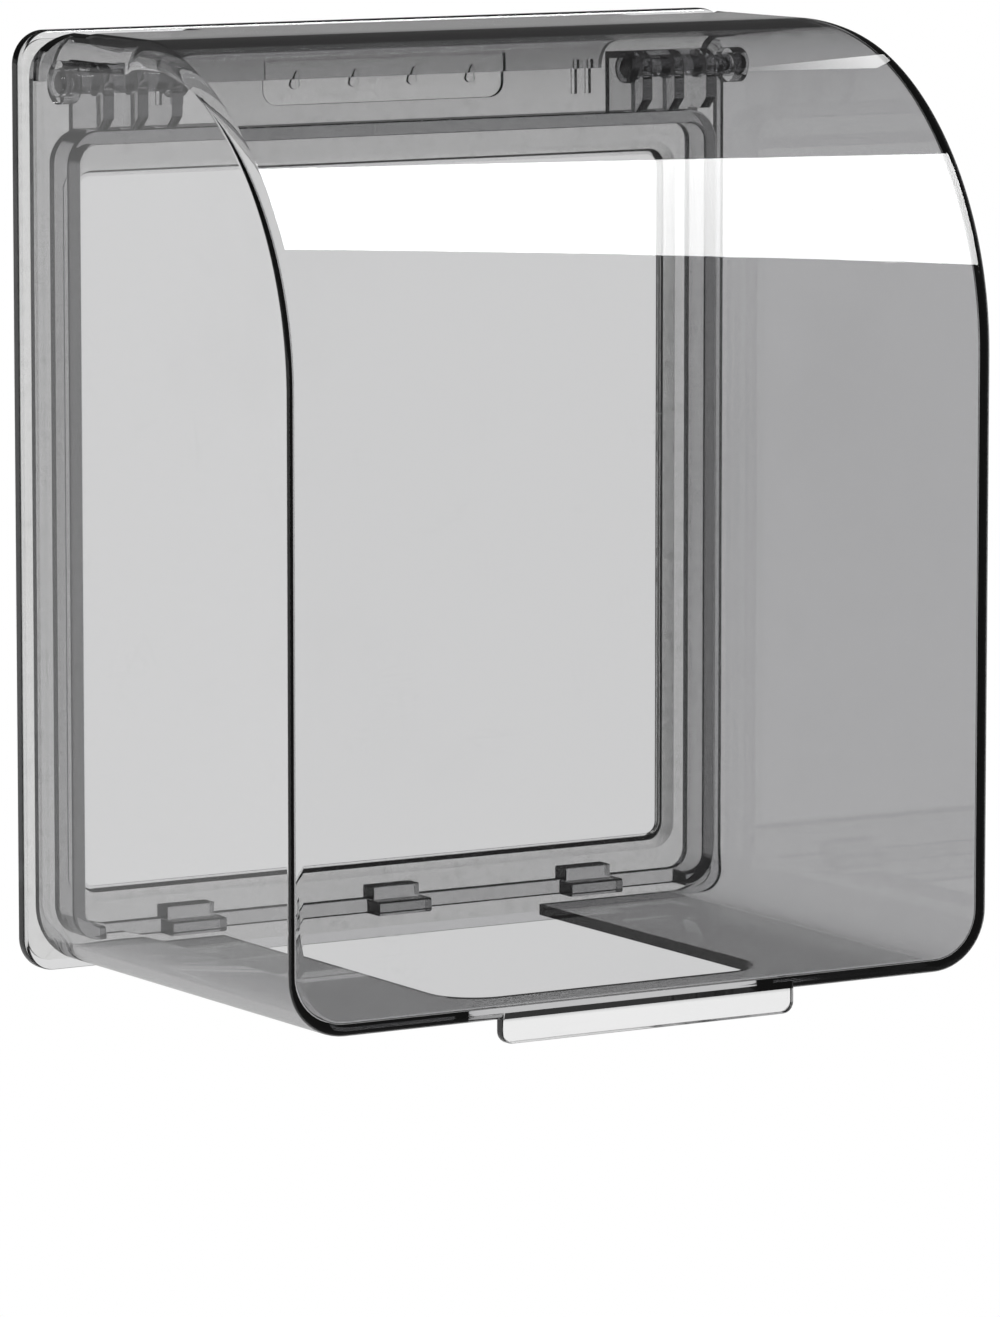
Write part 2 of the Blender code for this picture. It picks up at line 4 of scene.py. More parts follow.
import bmesh
import bpy
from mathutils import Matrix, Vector


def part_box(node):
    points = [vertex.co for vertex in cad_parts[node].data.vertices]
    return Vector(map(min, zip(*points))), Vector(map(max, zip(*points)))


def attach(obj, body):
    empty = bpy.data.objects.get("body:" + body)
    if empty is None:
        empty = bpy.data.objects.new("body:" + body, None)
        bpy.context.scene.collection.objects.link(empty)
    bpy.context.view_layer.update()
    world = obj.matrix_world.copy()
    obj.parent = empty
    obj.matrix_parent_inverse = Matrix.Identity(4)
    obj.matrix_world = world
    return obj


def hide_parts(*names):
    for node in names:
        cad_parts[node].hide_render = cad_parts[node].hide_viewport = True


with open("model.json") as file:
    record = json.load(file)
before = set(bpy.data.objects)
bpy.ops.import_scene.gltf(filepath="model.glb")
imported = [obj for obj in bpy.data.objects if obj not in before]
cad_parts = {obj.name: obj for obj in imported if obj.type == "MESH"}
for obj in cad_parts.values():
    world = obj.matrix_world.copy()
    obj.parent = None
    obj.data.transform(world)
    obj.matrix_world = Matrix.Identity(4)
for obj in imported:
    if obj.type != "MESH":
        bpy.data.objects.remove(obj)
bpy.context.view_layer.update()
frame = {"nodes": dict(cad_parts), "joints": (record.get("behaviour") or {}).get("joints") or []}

mm = 0.001
tolerance = 0.01 * mm
smoothAngle = 38     # degrees; edges that turn more stay sharp
print("cad model loaded:", sorted(frame["nodes"]))


# camera

shot = {
    "target": (20.0 * mm, 0.0, -21.2 * mm),
    "yaw": 31.26,          # degrees to the left of straight on
    "pitch": 7.78,         # degrees looking down
    "distance": 1087.0 * mm,
    "lens": 218.7,
    "clipStart": 0.01,
    "clipEnd": 60.0,
}


def addCamera(settings):
    turn, tilt = radians(settings["yaw"]), radians(settings["pitch"])
    look = Vector((sin(turn) * cos(tilt), cos(turn) * cos(tilt), -sin(tilt)))
    bpy.ops.object.camera_add(location=Vector(settings["target"]) - look * settings["distance"])
    camera = bpy.context.object
    camera.name = "camera"
    camera.rotation_euler = look.to_track_quat("-Z", "Y").to_euler()
    camera.data.lens = settings["lens"]
    camera.data.clip_start, camera.data.clip_end = settings["clipStart"], settings["clipEnd"]
    bpy.context.scene.camera = camera


addCamera(shot)
print("camera placed")


# modelling helpers

def endEdit(piece):
    bpy.ops.object.mode_set(mode="OBJECT")
    bpy.ops.object.select_all(action="DESELECT")
    return piece


def pickEdges(piece, wanted):
    bpy.ops.mesh.select_all(action="DESELECT")
    shape = bmesh.from_edit_mesh(piece.data)
    for edge in shape.edges:
        edge.select_set(wanted(edge.verts[0].co, edge.verts[1].co))
    bmesh.update_edit_mesh(piece.data)


def block(name, low, high):
    size = [b - a for a, b in zip(low, high)]
    middle = [(a + b) / 2 for a, b in zip(low, high)]
    bpy.ops.mesh.primitive_cube_add(size=1, location=middle, scale=size)
    piece = bpy.context.object
    piece.name = name
    bpy.ops.object.transform_apply(location=True, rotation=False, scale=True)
    bpy.ops.object.select_all(action="DESELECT")
    return piece


def rodAlongX(name, radius, fromX, toX, y, z, sides=64):
    bpy.ops.mesh.primitive_cylinder_add(
        vertices=sides, radius=radius, depth=toX - fromX,
        location=((fromX + toX) / 2, y, z), rotation=(0, radians(90), 0),
    )
    piece = bpy.context.object
    piece.name = name
    bpy.ops.object.transform_apply(location=True, rotation=True, scale=True)
    bpy.ops.object.select_all(action="DESELECT")
    return piece


def bevelEdges(piece, wanted, width, steps):
    bpy.context.view_layer.objects.active = piece
    bpy.ops.object.mode_set(mode="EDIT")
    bpy.ops.mesh.select_mode(type="EDGE")
    pickEdges(piece, wanted)
    bpy.ops.mesh.bevel(offset_type="OFFSET", offset=width, segments=steps, profile=0.5)
    return endEdit(piece)


def combine(piece, tool, operation):
    step = piece.modifiers.new(operation.lower(), "BOOLEAN")
    step.object = tool
    step.operation = operation
    step.solver = "EXACT"
    bpy.context.view_layer.objects.active = piece
    bpy.ops.object.modifier_apply(modifier=step.name)
    bpy.data.objects.remove(tool, do_unlink=True)
    return piece


def close(a, b):
    return abs(a - b) < tolerance


# lid

axisY, axisZ = frame["joints"][0]["pos_m"][1:]
lidLow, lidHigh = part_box("lid")

lidShape = {
    "wall": 1.5 * mm,
    "halfWidth": lidHigh.x,
    "draft": 0.7 * mm,
    "back": lidHigh.y,
    "front": lidLow.y,
    "bottom": lidLow.z + 3.1 * mm,
    "top": lidHigh.z,
    "browRadius": 42.0 * mm,
    "browSteps": 48,
    "floorCorner": 8.0 * mm,
    "floorSteps": 14,
    "frontEdge": 1.5 * mm,
    "topCorner": 5.0 * mm,
    "innerEdge": 0.5 * mm,
    "edgeSteps": 8,
    "sharpTurn": 35,       # degrees; only edges that turn more are rounded
    "fadeFrom": 14.0 * mm,     # from the back, where the top corners begin to tighten and are tight
    "fadeTo": 42.0 * mm,
    "fadeCuts": 10,
    "barrel": 6.5 * mm,    # round back edge at the top, about the hinge's axis
    "barrelSides": 96,
    "overrun": 4.0 * mm,
}


def hoodForm(name, settings, wall):
    half = settings["halfWidth"] - wall
    low, high = settings["bottom"] + wall, settings["top"] - wall
    front = settings["front"] + wall
    back = settings["back"] + (settings["overrun"] if wall else 0.0)
    hood = block(name, (-half, front, low), (half, back, high))
    depth = settings["back"] - settings["front"]
    for corner in hood.data.vertices:
        reach = (settings["back"] - corner.co.y) / depth
        corner.co.x -= settings["draft"] * reach * (1 if corner.co.x > 0 else -1)
    bevelEdges(
        hood, lambda a, b: close(a.y, front) and close(b.y, front) and close(a.z, high) and close(b.z, high),
        settings["browRadius"] - wall, settings["browSteps"],
    )
    bevelEdges(
        hood, lambda a, b: close(a.z, low) and close(b.z, low) and a.x * b.x > 0,
        settings["floorCorner"] - wall, settings["floorSteps"],
    )
    fadeEnd = settings["front"] + settings["browRadius"]
    bpy.context.view_layer.objects.active = hood
    bpy.ops.object.mode_set(mode="EDIT")
    for i in range(1, settings["fadeCuts"]):
        y = settings["back"] + (fadeEnd - settings["back"]) * i / settings["fadeCuts"]
        bpy.ops.mesh.select_all(action="SELECT")
        bpy.ops.mesh.bisect(plane_co=(0, y, 0), plane_no=(0, 1, 0))
    large = settings["topCorner"] - wall
    small = max(settings["frontEdge"] - wall, settings["innerEdge"])
    shape = bmesh.from_edit_mesh(hood.data)
    weight = shape.edges.layers.float.new("bevel_weight_edge")
    for edge in shape.edges:
        a, b = edge.verts[0].co, edge.verts[1].co
        one, other = [face.normal for face in edge.link_faces]
        if one.angle(other) < radians(settings["sharpTurn"]) or (close(a.y, back) and close(b.y, back)):
            continue
        reach = settings["back"] - (a.y + b.y) / 2 - settings["fadeFrom"]
        share = min(max(reach / (settings["fadeTo"] - settings["fadeFrom"]), 0.0), 1.0)
        share *= share * (3 - 2 * share)
        edge[weight] = (large + (small - large) * share) / large
    bmesh.update_edit_mesh(hood.data)
    endEdit(hood)
    step = hood.modifiers.new("edges", "BEVEL")
    step.limit_method = "WEIGHT"
    step.offset_type = "OFFSET"
    step.width = large
    step.segments = settings["edgeSteps"]
    step.use_clamp_overlap = False
    bpy.context.view_layer.objects.active = hood
    bpy.ops.object.modifier_apply(modifier=step.name)
    past = settings["overrun"]
    wide = settings["halfWidth"] + past
    corner = block("corner", (-wide, axisY, axisZ), (wide, back + past, high + past))
    roll = rodAlongX(
        "roll", settings["barrel"] - wall, -wide - past, wide + past, axisY, axisZ, settings["barrelSides"],
    )
    combine(corner, roll, "DIFFERENCE")
    return combine(hood, corner, "DIFFERENCE")


slot = {"halfWidth": 24.0 * mm, "frontBar": 9.0 * mm, "corner": 6.5 * mm, "cornerSteps": 16}
lip = {
    "halfWidth": 22.0 * mm, "drop": 3.1 * mm, "thick": 1.7 * mm, "root": 1.2 * mm,
    "setBack": 0.05 * mm,
    "corner": 1.55 * mm, "cornerSteps": 8, "edge": 0.3 * mm, "edgeSteps": 3,
}
hinge = {
    "pinRoom": 1.8 * mm,
    "bossWall": 0.9 * mm,
    "bossFace": 49.4 * mm,
    "bossRoot": 0.4 * mm,      # how far the boss runs into the lid's wall
    "holeRun": 1.0 * mm,       # how far its hole's cutter runs out of its face
    "blindWall": 0.9 * mm,
    "notchFrom": 32.9 * mm,
    "notchFront": -12.9 * mm,
    "notchBelowAxis": 2.0 * mm,
}


def slotCutter(settings, lid):
    front = lid["front"] + settings["frontBar"]
    cutter = block(
        "slot", (-settings["halfWidth"], front, lid["bottom"] - lid["overrun"]),
        (settings["halfWidth"], lid["back"] + lid["overrun"], lid["bottom"] + lid["wall"] + lid["overrun"]),
    )
    return bevelEdges(
        cutter, lambda a, b: close(a.y, front) and close(b.y, front) and close(a.x, b.x),
        settings["corner"], settings["cornerSteps"],
    )


def lipBar(settings, lid):
    front = lid["front"] + settings["setBack"]
    low, high = lid["bottom"] - settings["drop"], lid["bottom"] + settings["root"]
    half = settings["halfWidth"]
    bar = block("lip", (-half, front, low), (half, front + settings["thick"], high))
    bevelEdges(
        bar, lambda a, b: close(a.x, b.x) and close(a.z, b.z) and close(a.z, low),
        settings["corner"], settings["cornerSteps"],
    )
    return bevelEdges(
        bar, lambda a, b: close(a.y, b.y) and not (close(a.z, high) and close(b.z, high)),
        settings["edge"], settings["edgeSteps"],
    )


def makeLid(settings):
    lid = hoodForm("lidShell", settings, 0.0)
    combine(lid, lipBar(lip, settings), "UNION")
    combine(lid, hoodForm("hollow", settings, settings["wall"]), "DIFFERENCE")
    inside = settings["halfWidth"] - settings["wall"] + hinge["bossRoot"]
    for side in (-1, 1):
        ends = sorted((side * hinge["bossFace"], side * inside))
        boss = rodAlongX("boss", hinge["pinRoom"] + hinge["bossWall"], *ends, axisY, axisZ)
        combine(lid, boss, "UNION")
        holeEnd = settings["halfWidth"] - hinge["blindWall"]
        ends = sorted((side * (hinge["bossFace"] - hinge["holeRun"]), side * holeEnd))
        combine(lid, rodAlongX("hole", hinge["pinRoom"], *ends, axisY, axisZ), "DIFFERENCE")
        ends = sorted((side * hinge["notchFrom"], side * hinge["bossFace"]))
        notch = block(
            "notch", (ends[0], hinge["notchFront"], axisZ - hinge["notchBelowAxis"]),
            (ends[1], settings["back"] + settings["overrun"], settings["top"] + settings["overrun"]),
        )
        combine(lid, notch, "DIFFERENCE")
    combine(lid, slotCutter(slot, settings), "DIFFERENCE")
    return lid


def finishShape(piece):
    bpy.context.view_layer.objects.active = piece
    piece.select_set(True)
    bpy.ops.object.shade_smooth_by_angle(angle=radians(smoothAngle))
    step = piece.modifiers.new("normals", "WEIGHTED_NORMAL")
    step.keep_sharp = True
    bpy.ops.object.modifier_apply(modifier=step.name)
    piece.select_set(False)


bpy.ops.object.select_all(action="DESELECT")
lidShell = makeLid(lidShape)
finishShape(lidShell)
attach(lidShell, "lid")
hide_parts("lid")
print("lid shaped:", len(lidShell.data.polygons), "faces")


# back frame

frameLow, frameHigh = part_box("back_frame")

plate = {
    "back": frameHigh.y,
    "front": frameHigh.y - 2.0 * mm,
    "corner": 4.5 * mm,
    "cornerSteps": 18,
    "edge": 0.5 * mm,
    "edgeSteps": 5,
    "windowX": 44.0 * mm,
    "windowZ": 46.9 * mm,
    "windowCorner": 1.6 * mm,
    "windowSteps": 12,
    "chamfer": 1.8 * mm,
}
rim = {
    "outX": 49.2 * mm,
    "outZ": 53.4 * mm,
    "wall": 1.9 * mm,
    "height": 5.2 * mm,
    "corner": 4.5 * mm,
    "cornerSteps": 14,     # more steps, or a wider edge, can break the drains' cuts
    "edge": 0.4 * mm,
    "edgeSteps": 5,
    "root": 1.0 * mm,
}
drains = {
    "count": 4, "pitch": 30.3 * mm, "width": 22.3 * mm, "reach": 44.6 * mm, "depth": 3.4 * mm,
    "toothHeight": 1.7 * mm, "toothReach": 2.4 * mm, "toothGap": 0.4 * mm, "edge": 0.3 * mm, "edgeSteps": 3,
}
bracket = {
    "inX": 34.6 * mm, "outX": 46.3 * mm, "ribs": 3, "ribThick": 1.6 * mm,
    "nose": 2.7 * mm, "foot": 0.4 * mm, "toeChamfer": 1.5 * mm, "toeLift": 0.3 * mm,
    "noseSteps": 16, "roof": 1.0 * mm, "roofDrop": 0.2 * mm, "edge": 0.18 * mm, "edgeSteps": 2,
}
badge = {
    "halfWidth": 18.5 * mm, "height": 7.6 * mm, "depth": 0.7 * mm, "aboveRim": 2.6 * mm,
    "corner": 2.2 * mm, "cornerSteps": 10, "floorEdge": 0.15 * mm, "floorSteps": 2,
    "drops": 4, "dropPitch": 9.0 * mm, "dropRadius": 0.75 * mm, "dropLength": 3.0 * mm,
    "dropRaise": 0.5 * mm, "dropSides": 32, "dropEdge": 0.12 * mm, "dropSteps": 3,
    "dropPower": 3,        # a higher power makes the drops more pointed
    "grooves": 2, "groovePitch": 2.2 * mm, "grooveWidth": 0.8 * mm, "grooveLength": 5.5 * mm,
    "fromBracket": 2.3 * mm,
}
over = 2.0 * mm      # how far a cutter runs past the face it cuts
sink = 0.4 * mm      # how far a joined piece runs into what carries it


def uprightCorner(a, b):
    return close(a.x, b.x) and close(a.z, b.z)


def frontOutline(front):
    return lambda a, b: close(a.y, front) and close(b.y, front)


def roundedBlock(name, low, high, corner, steps):
    return bevelEdges(block(name, low, high), uprightCorner, corner, steps)


def makePlate(settings):
    low = (frameLow.x, settings["front"], frameLow.z)
    high = (frameHigh.x, settings["back"], frameHigh.z)
    piece = roundedBlock("backFrame", low, high, settings["corner"], settings["cornerSteps"])
    for face in (settings["front"], settings["back"]):
        bevelEdges(piece, frontOutline(face), settings["edge"], settings["edgeSteps"])
    window = roundedBlock(
        "window", (-settings["windowX"], settings["front"] - over, -settings["windowZ"]),
        (settings["windowX"], settings["back"] + over, settings["windowZ"]),
        settings["windowCorner"], settings["windowSteps"],
    )
    combine(piece, window, "DIFFERENCE")
    inside = settings["windowX"] + sink, settings["windowZ"] + sink

    def windowEdge(a, b):
        near = all(abs(c.x) < inside[0] and abs(c.z) < inside[1] for c in (a, b))
        return near and close(a.y, settings["front"]) and close(b.y, settings["front"])

    return bevelEdges(piece, windowEdge, settings["chamfer"], 1)


def makeRim(settings):
    front = plate["front"] - settings["height"]
    root = plate["front"] + settings["root"]
    outer = roundedBlock(
        "rim", (-settings["outX"], front, -settings["outZ"]), (settings["outX"], root, settings["outZ"]),
        settings["corner"], settings["cornerSteps"],
    )
    inX, inZ = settings["outX"] - settings["wall"], settings["outZ"] - settings["wall"]
    inner = roundedBlock(
        "rimInside", (-inX, front - over, -inZ), (inX, root + over, inZ),
        settings["corner"] - settings["wall"], settings["cornerSteps"],
    )
    combine(outer, inner, "DIFFERENCE")
    return bevelEdges(outer, frontOutline(front), settings["edge"], settings["edgeSteps"])


def drainPlaces(settings):
    first = -(settings["count"] - 1) / 2
    return [(first + i) * settings["pitch"] for i in range(settings["count"])]


def cutDrains(piece, settings):
    front = plate["front"] - rim["height"]
    inZ = rim["outZ"] - rim["wall"]
    half = settings["width"] / 2
    for x in drainPlaces(settings):
        left, right = max(x - half, -settings["reach"]), min(x + half, settings["reach"])
        notch = block(
            "drain", (left, front - over, -rim["outZ"] - over),
            (right, front + settings["depth"], -inZ + sink),
        )
        bevelEdges(
            notch, lambda a, b: close(a.y, b.y) and a.y > front and close(a.x, b.x),
            settings["edge"], settings["edgeSteps"],
        )
        combine(piece, notch, "DIFFERENCE")


def addTeeth(piece, settings):
    front = plate["front"] - rim["height"] + settings["toothReach"]
    inZ = rim["outZ"] - rim["wall"]
    half = (settings["pitch"] - settings["width"]) / 2 - settings["toothGap"]
    places = drainPlaces(settings)
    for left, right in zip(places, places[1:]):
        x = (left + right) / 2
        tooth = block(
            "tooth", (x - half, front, -inZ - sink),
            (x + half, plate["front"] + sink, -inZ + settings["toothHeight"]),
        )
        bevelEdges(tooth, frontOutline(front), settings["edge"], settings["edgeSteps"])
        combine(piece, tooth, "UNION")


def makeRib(name, lowX, settings):
    footFront = plate["front"] - rim["height"] + settings["foot"]
    footZ, toeZ = rim["outZ"] - sink, rim["outZ"] + settings["toeLift"]
    nose, top = axisY - settings["nose"], axisZ + settings["nose"]
    highX = lowX + settings["ribThick"]
    rib = block(name, (lowX, nose, footZ), (highX, plate["front"] + sink, top))
    gap = block("underToe", (lowX - over, nose - over, footZ - over), (highX + over, footFront, toeZ))
    combine(rib, gap, "DIFFERENCE")

    def frontEdge(height):
        return lambda a, b: all(close(c.y, nose) and close(c.z, height) for c in (a, b))

    bevelEdges(rib, frontEdge(top), settings["nose"], settings["noseSteps"])
    bevelEdges(rib, frontEdge(toeZ), settings["toeChamfer"], 1)
    return bevelEdges(
        rib, lambda a, b: close(a.x, b.x) and max(a.z, b.z) > toeZ + settings["foot"],
        settings["edge"], settings["edgeSteps"],
    )


def addBrackets(piece, settings):
    stride = (settings["outX"] - settings["inX"] - settings["ribThick"]) / (settings["ribs"] - 1)
    roofTop = axisZ + settings["nose"] - settings["roofDrop"]
    inset = settings["ribThick"] / 2
    for side in (-1, 1):
        for i in range(settings["ribs"]):
            x = settings["inX"] + i * stride
            low = x if side > 0 else -x - settings["ribThick"]
            combine(piece, makeRib("rib", low, settings), "UNION")
        ends = sorted((side * (settings["inX"] + inset), side * (settings["outX"] - inset)))
        roof = block(
            "roof", (ends[0], axisY, roofTop - settings["roof"]), (ends[1], plate["front"] + sink, roofTop),
        )
        combine(piece, roof, "UNION")
        ends = sorted((side * (settings["inX"] - over), side * (settings["outX"] + over)))
        combine(piece, rodAlongX("bore", hinge["pinRoom"], *ends, axisY, axisZ), "DIFFERENCE")


def addBadge(piece, settings):
    low = rim["outZ"] + settings["aboveRim"]
    floor = plate["front"] + settings["depth"]
    half = settings["halfWidth"]
    field = block("field", (-half, plate["front"] - over, low), (half, floor, low + settings["height"]))
    bevelEdges(
        field, lambda a, b: uprightCorner(a, b) and close(a.z, low),
        settings["corner"], settings["cornerSteps"],
    )
    bevelEdges(field, frontOutline(floor), settings["floorEdge"], settings["floorSteps"])
    combine(piece, field, "DIFFERENCE")
    for side in (-1, 1):
        for i in range(settings["grooves"]):
            x = bracket["inX"] - settings["fromBracket"] - i * settings["groovePitch"]
            ends = sorted((side * x, side * (x - settings["grooveWidth"])))
            groove = block(
                "groove", (ends[0], plate["front"] - over, low),
                (ends[1], floor, low + settings["grooveLength"]),
            )
            combine(piece, groove, "DIFFERENCE")
    middle = low + (settings["height"] - settings["dropLength"]) / 2 + settings["dropRadius"]
    for i in range(settings["drops"]):
        x = (i - (settings["drops"] - 1) / 2) * settings["dropPitch"]
        combine(piece, makeDrop(x, middle, floor, settings), "UNION")


def makeDrop(x, z, floor, settings):
    bpy.ops.mesh.primitive_cylinder_add(
        vertices=settings["dropSides"], radius=settings["dropRadius"], depth=settings["dropRaise"] + sink,
        location=(x, floor + (sink - settings["dropRaise"]) / 2, z), rotation=(radians(90), 0, 0),
    )
    drop = bpy.context.object
    drop.name = "drop"
    bpy.ops.object.transform_apply(location=True, rotation=True, scale=True)
    reach = settings["dropLength"] - settings["dropRadius"]
    for corner in drop.data.vertices:
        rise = max(corner.co.z - z, 0.0) / settings["dropRadius"]
        corner.co.z = z + (corner.co.z - z if rise == 0.0 else rise ** settings["dropPower"] * reach)
    bpy.ops.object.select_all(action="DESELECT")
    return bevelEdges(
        drop, frontOutline(floor - settings["dropRaise"]), settings["dropEdge"], settings["dropSteps"],
    )


backFrame = makePlate(plate)
rimWall = makeRim(rim)
cutDrains(rimWall, drains)
combine(backFrame, rimWall, "UNION")
addTeeth(backFrame, drains)
addBadge(backFrame, badge)
addBrackets(backFrame, bracket)
finishShape(backFrame)
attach(backFrame, "frame")
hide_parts("back_frame")
print("back frame shaped:", len(backFrame.data.polygons), "faces")


# hinge pins

pin = {
    "radius": 1.5 * mm,
    "head": 2.3 * mm,
    "headThick": 1.1 * mm,
    "headEdge": 0.3 * mm,
    "headSteps": 5,
    "tipRound": 0.7 * mm,
    "tipSteps": 8,
    "play": 0.3 * mm,
}


def makePin(name, side, settings):
    headFace = bracket["inX"] - settings["play"]
    tip = lidShape["halfWidth"] - hinge["blindWall"] - settings["play"]
    ends = sorted((side * (headFace - settings["headThick"] / 2), side * tip))
    shaft = rodAlongX(name, settings["radius"], *ends, axisY, axisZ)
    bevelEdges(
        shaft, lambda a, b: close(a.x, side * tip) and close(b.x, side * tip),
        settings["tipRound"], settings["tipSteps"],
    )
    ends = sorted((side * headFace, side * (headFace - settings["headThick"])))
    head = rodAlongX("head", settings["head"], *ends, axisY, axisZ)
    outer = side * (headFace - settings["headThick"])
    bevelEdges(
        head, lambda a, b: close(a.x, outer) and close(b.x, outer),
        settings["headEdge"], settings["headSteps"],
    )
    combine(shaft, head, "UNION")
    finishShape(shaft)
    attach(shaft, "frame")
    return shaft


pinLeft = makePin("pinLeft", -1, pin)
pinRight = makePin("pinRight", 1, pin)
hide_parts("hinge_pin_left")
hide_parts("hinge_pin_right")
print("hinge pins shaped")


# wall gasket

gasket = {
    "inset": 1.2 * mm,
    "cornerTighter": 1.2 * mm,
    "cornerSteps": 18,
    "holeSteps": 12,
    "gap": 0.04 * mm,      # keeps its faces apart from the plate's and the wall's
    "edge": 0.2 * mm,
    "edgeSteps": 4,
}


def makeGasket(settings):
    back, front = -settings["gap"], plate["back"] + settings["gap"]
    inset = settings["inset"]
    ring = roundedBlock(
        "gasketRing", (frameLow.x + inset, front, frameLow.z + inset),
        (frameHigh.x - inset, back, frameHigh.z - inset),
        plate["corner"] - settings["cornerTighter"], settings["cornerSteps"],
    )
    holeX, holeZ = plate["windowX"] + inset, plate["windowZ"] + inset
    hole = roundedBlock(
        "gasketHole", (-holeX, front - over, -holeZ), (holeX, back + over, holeZ),
        plate["windowCorner"] + inset, settings["holeSteps"],
    )
    combine(ring, hole, "DIFFERENCE")
    for face in (front, back):
        bevelEdges(ring, frontOutline(face), settings["edge"], settings["edgeSteps"])
    return ring


gasketRing = makeGasket(gasket)
finishShape(gasketRing)
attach(gasketRing, "frame")
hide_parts("wall_gasket")
print("gasket shaped")


# materials

lipTop = lidShape["bottom"]

# tint colours a whole wall, depthColor and density what a long way through the plastic adds
smoked = {
    "ior": 1.58, "tint": (0.68, 0.68, 0.685), "depthColor": (0.6, 0.6, 0.61), "density": 50.0,
    "waveSize": 55.0, "waveHeight": 0.006 * mm, "haze": 0.03, "scratches": 0.05, "film": 0.05,
}
lipPaintedPale = {     # a paler tint painted on the lid's lip: painted lightening that sets it apart from the rest of the lid
    "tint": (0.94, 0.94, 0.94), "from": lipTop + 0.1 * mm, "full": lipTop - 0.3 * mm,
}
clear = {
    "ior": 1.58, "tint": (0.98, 0.98, 0.98), "depthColor": (0.6, 0.6, 0.61), "density": 320.0,
    "waveSize": 80.0, "waveHeight": 0.004 * mm, "haze": 0.04, "scratches": 0.06, "film": 0.04,
}
dark = {
    "ior": 1.58, "tint": (0.55, 0.55, 0.56), "depthColor": (0.6, 0.6, 0.61), "density": 400.0,
    "waveSize": 200.0, "waveHeight": 0.003 * mm, "haze": 0.05, "scratches": 0.15, "film": 0.06,
}
gel = {
    "ior": 1.42, "tint": (0.97, 0.97, 0.96), "roughness": 0.05,
    "bubbleSize": 420.0, "bubbleHeight": 0.004 * mm, "bubbleRough": 0.08, "bubbleTint": (0.90, 0.90, 0.89),
}
dullShare = 0.5      # how much of its tint a hazed or scratched surface keeps at full film
skinPattern = {
    "waveDetail": 1.0,
    "cloudSize": 28.0, "cloudDetail": 5.0, "cloudRoughness": 0.6, "cloudFrom": 0.52, "cloudFull": 0.75,
    "scratchRuns": (((60.0, 60.0, 900.0), (17.0, 35.0, 0.0)), ((800.0, 70.0, 50.0), (0.0, 24.0, 40.0))),
    "scratchWidth": 0.035, "patchSize": 90.0, "patchFrom": 0.58, "patchFull": 0.68,
}
bubblePattern = {"core": 0.12, "rim": 0.4}


def newGroup(name, inputs, outputs):
    group = bpy.data.node_groups.new(name, "ShaderNodeTree")
    for label, kind in inputs:
        group.interface.new_socket(name=label, in_out="INPUT", socket_type=kind)
    for label, kind in outputs:
        group.interface.new_socket(name=label, in_out="OUTPUT", socket_type=kind)
    return group, group.nodes.new("NodeGroupInput"), group.nodes.new("NodeGroupOutput")


def mathNode(tree, operation, first, second=0.0):
    node = tree.nodes.new("ShaderNodeMath")
    node.operation = operation
    for socket, value in zip(node.inputs, (first, second)):
        if isinstance(value, (int, float)):
            socket.default_value = value
        else:
            tree.links.new(value, socket)
    return node.outputs[0]


def smoothStep(tree, value, low, high, start=0.0, end=1.0):
    node = tree.nodes.new("ShaderNodeMapRange")
    node.interpolation_type = "SMOOTHSTEP"
    for label, number in (("From Min", low), ("From Max", high), ("To Min", start), ("To Max", end)):
        node.inputs[label].default_value = number
    tree.links.new(value, node.inputs["Value"])
    return node.outputs["Result"]


def mixColor(tree, mask, first, second):
    node = tree.nodes.new("ShaderNodeMix")
    node.data_type = "RGBA"
    for socket, value in zip((node.inputs[0], node.inputs[6], node.inputs[7]), (mask, first, second)):
        if isinstance(value, tuple):
            socket.default_value = (*value, 1.0)
        else:
            tree.links.new(value, socket)
    return node.outputs[2]


def stretched(tree, vector, scale, turn):
    node = tree.nodes.new("ShaderNodeMapping")
    node.inputs["Scale"].default_value = scale
    node.inputs["Rotation"].default_value = [radians(t) for t in turn]
    tree.links.new(vector, node.inputs["Vector"])
    return node.outputs["Vector"]


def noiseNode(tree, position, values):
    noise = tree.nodes.new("ShaderNodeTexNoise")
    tree.links.new(position, noise.inputs["Vector"])
    for label, number in values.items():
        noise.inputs[label].default_value = number
    return noise


def bumpNormal(tree, height, distance):
    bump = tree.nodes.new("ShaderNodeBump")
    bump.inputs["Strength"].default_value = 1.0
    tree.links.new(distance, bump.inputs["Distance"])
    tree.links.new(height, bump.inputs["Height"])
    return bump.outputs["Normal"]


def scratchLines(tree, position, scale, turn, width):
    cells = tree.nodes.new("ShaderNodeTexVoronoi")
    cells.feature = "DISTANCE_TO_EDGE"
    cells.inputs["Scale"].default_value = 1.0
    tree.links.new(stretched(tree, position, scale, turn), cells.inputs["Vector"])
    return smoothStep(tree, cells.outputs["Distance"], 0.0, width, 1.0, 0.0)


